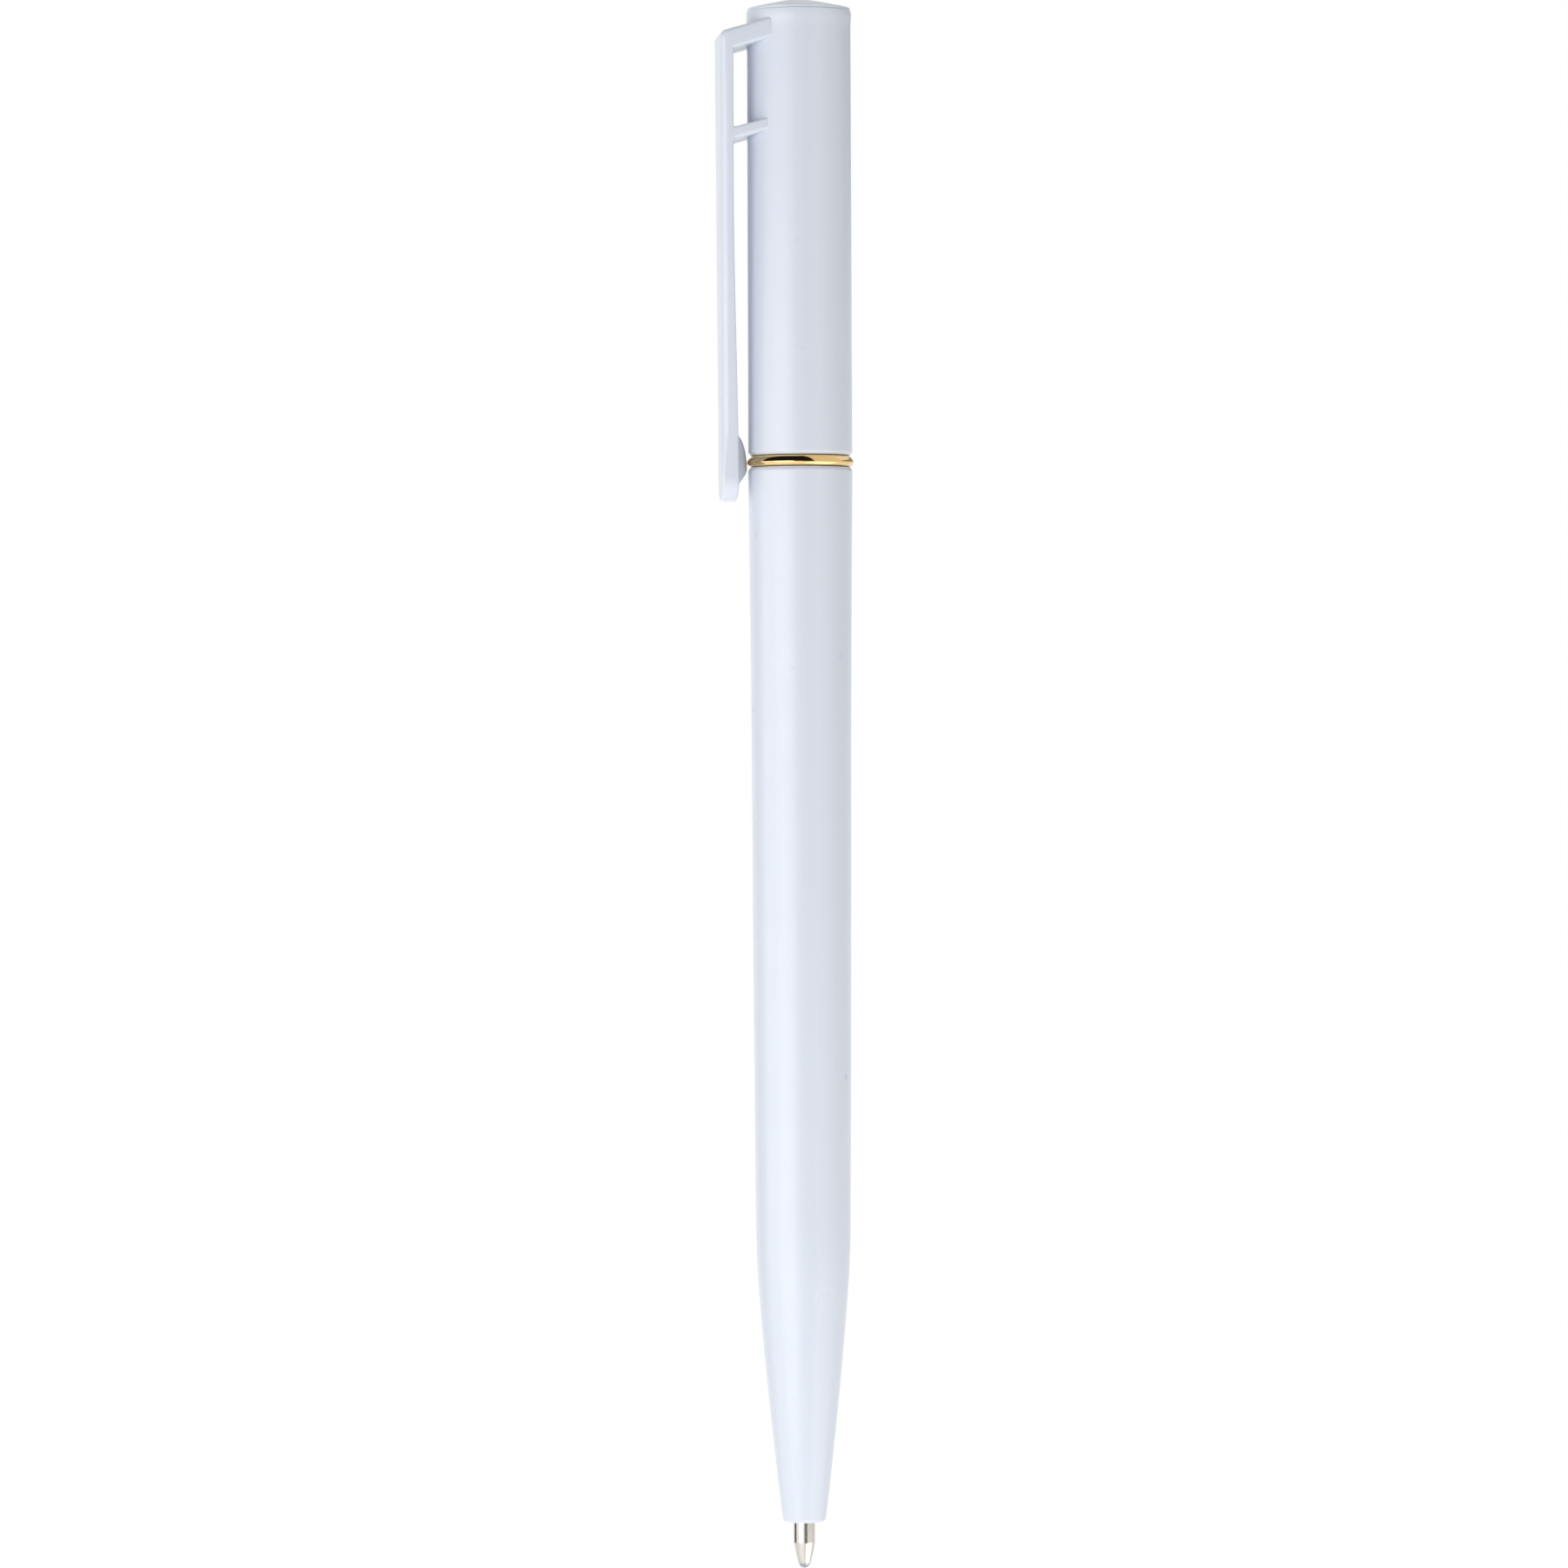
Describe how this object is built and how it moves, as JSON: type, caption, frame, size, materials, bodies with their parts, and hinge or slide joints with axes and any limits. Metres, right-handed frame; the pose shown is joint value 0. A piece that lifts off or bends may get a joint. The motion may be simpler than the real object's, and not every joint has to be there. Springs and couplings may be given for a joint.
{
  "type": "twist ballpoint pen",
  "caption": "Slim twist ballpoint pen: tapering lower barrel, metal centre ring, and an upper barrel with a flat pocket clip that turns to push the writing point out or draw it in.",
  "frame": {"origin": "on the pen's axis where the fingers hold it, 30 mm above the writing point when the point is out", "axes": "+Z along the axis from the writing point to the top plug, -X from the axis towards the clip"},
  "size_m": [0.0121, 0.0096, 0.1401],
  "materials": {
    "barrel_plastic": "moulded ABS, white, satin",
    "ring_gold": "gold-plated brass, polished",
    "mechanism_plastic": "moulded acetal, natural white",
    "refill_plastic": "extruded polypropylene, milky",
    "ink": "viscous blue ballpoint ink",
    "point_metal": "turned nickel silver, polished",
    "ball_carbide": "ground tungsten carbide",
    "spring_steel": "drawn stainless steel"
  },
  "bodies": {
    "lower": {"lower_barrel": "barrel_plastic", "centre_ring": "ring_gold", "guide_sleeve": "mechanism_plastic", "retaining_collar": "mechanism_plastic", "return_spring": "spring_steel"},
    "upper": {"upper_barrel": "barrel_plastic", "top_plug": "barrel_plastic", "cam_tube": "mechanism_plastic"},
    "clip": {"clip_arm": "barrel_plastic"},
    "refill": {"plunger": "mechanism_plastic", "drive_pin": "spring_steel", "refill_tube": "refill_plastic", "refill_ink": "ink", "refill_socket": "refill_plastic", "refill_point": "point_metal"},
    "ball": {"writing_ball": "ball_carbide"}
  },
  "joints": [
    {"name": "twist", "type": "hinge", "parent": "lower", "child": "upper", "pos_m": [0, 0, 0.07], "axis": [0, 0, 1], "range_deg": [0, 180]},
    {"name": "clip_flex", "type": "hinge", "parent": "upper", "child": "clip", "pos_m": [-0.0067, 0, 0.09691], "axis": [0, 1, 0], "range_deg": [0, 2.5], "stiffness_Nm_per_rad": 1.2},
    {"name": "refill_slide", "type": "slide", "parent": "lower", "child": "refill", "axis": [0, 0, 1], "range_m": [0, 0.0055], "deforming": ["return_spring"]},
    {"name": "ball_roll", "type": "hinge", "parent": "refill", "child": "ball", "pos_m": [0, 0, -0.0295], "axis": [1, 0, 0], "continuous": true}
  ],
  "couplings": [
    {"joint": "twist", "follows": "refill_slide", "rad_per_m": 571.2}
  ]
}
